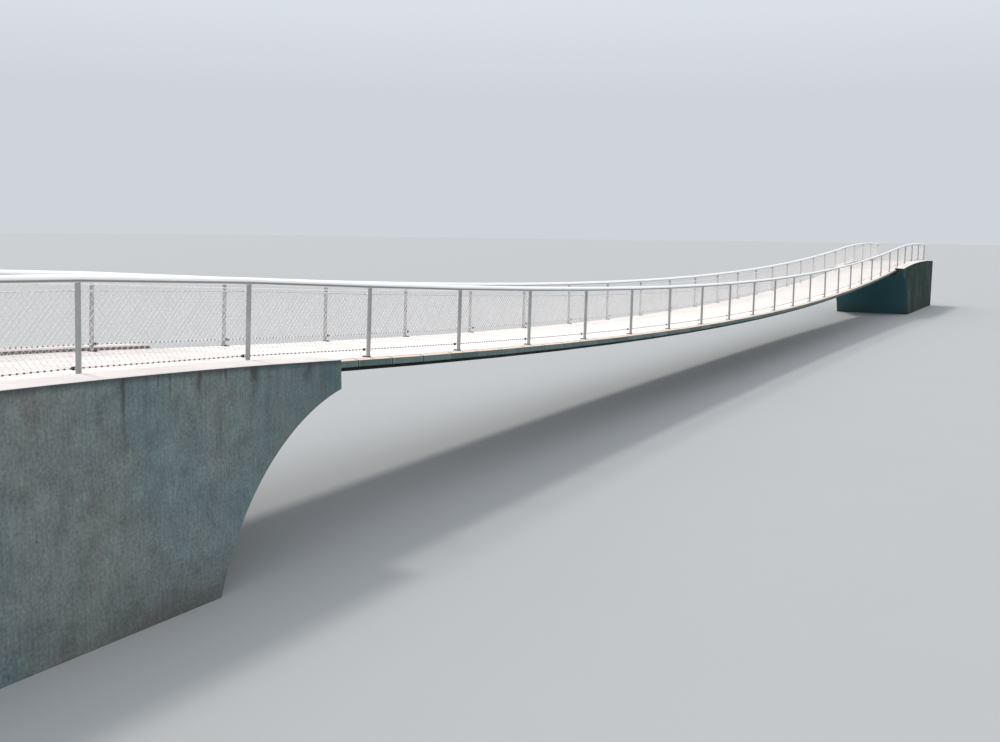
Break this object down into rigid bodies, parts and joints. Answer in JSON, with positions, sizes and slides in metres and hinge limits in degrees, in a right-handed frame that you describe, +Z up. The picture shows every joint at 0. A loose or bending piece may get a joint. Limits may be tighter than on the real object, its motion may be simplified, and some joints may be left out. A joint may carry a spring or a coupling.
{
  "type": "stress-ribbon footbridge, 1:2 scale model",
  "caption": "Long slender footbridge of concrete slabs laid on sagging steel bands between two arched concrete abutments, with steel post, handrail and wire net railings.",
  "frame": {"origin": "on the floor under the middle of the span, on the bridge's centre line, level with the feet of the abutments", "axes": "+X along the bridge from the near abutment to the far one, +Y to the left of someone walking that way, +Z up"},
  "size_m": [35.2342, 1.83, 1.8529],
  "materials": {
    "wall_concrete": "board-marked grey concrete, weathered, with drip stains",
    "slab_concrete": "pale precast concrete, lightly brushed",
    "dark_steel": "dark, weathered, matt",
    "post_steel": "matt galvanised or blasted stainless",
    "rail_steel": "satin ground stainless tube",
    "net_steel": "stainless wire rope"
  },
  "bodies": {
    "root": {"near_abutment": "wall_concrete", "far_abutment": "wall_concrete", "left_band": "dark_steel", "right_band": "dark_steel", "slab_bay_01": "slab_concrete", "slab_bay_02": "slab_concrete", "slab_bay_03": "slab_concrete", "slab_bay_04": "slab_concrete", "slab_bay_05": "slab_concrete", "slab_bay_06": "slab_concrete", "slab_bay_07": "slab_concrete", "slab_bay_08": "slab_concrete", "slab_bay_09": "slab_concrete", "slab_bay_10": "slab_concrete", "slab_bay_11": "slab_concrete", "slab_bay_12": "slab_concrete", "slab_bay_13": "slab_concrete", "slab_bay_14": "slab_concrete", "slab_bay_15": "slab_concrete", "slab_bay_16": "slab_concrete", "slab_bay_17": "slab_concrete", "slab_bay_18": "slab_concrete", "slab_bay_19": "slab_concrete", "left_handrail_near": "rail_steel", "left_posts_near": "post_steel", "left_net_near": "net_steel", "left_handrail_mid": "rail_steel", "left_posts_mid": "post_steel", "left_net_mid": "net_steel", "left_handrail_far": "rail_steel", "left_posts_far": "post_steel", "left_net_far": "net_steel", "right_handrail_near": "rail_steel", "right_posts_near": "post_steel", "right_net_near": "net_steel", "right_handrail_mid": "rail_steel", "right_posts_mid": "post_steel", "right_net_mid": "net_steel", "right_handrail_far": "rail_steel", "right_posts_far": "post_steel", "right_net_far": "net_steel"}
  },
  "joints": []
}
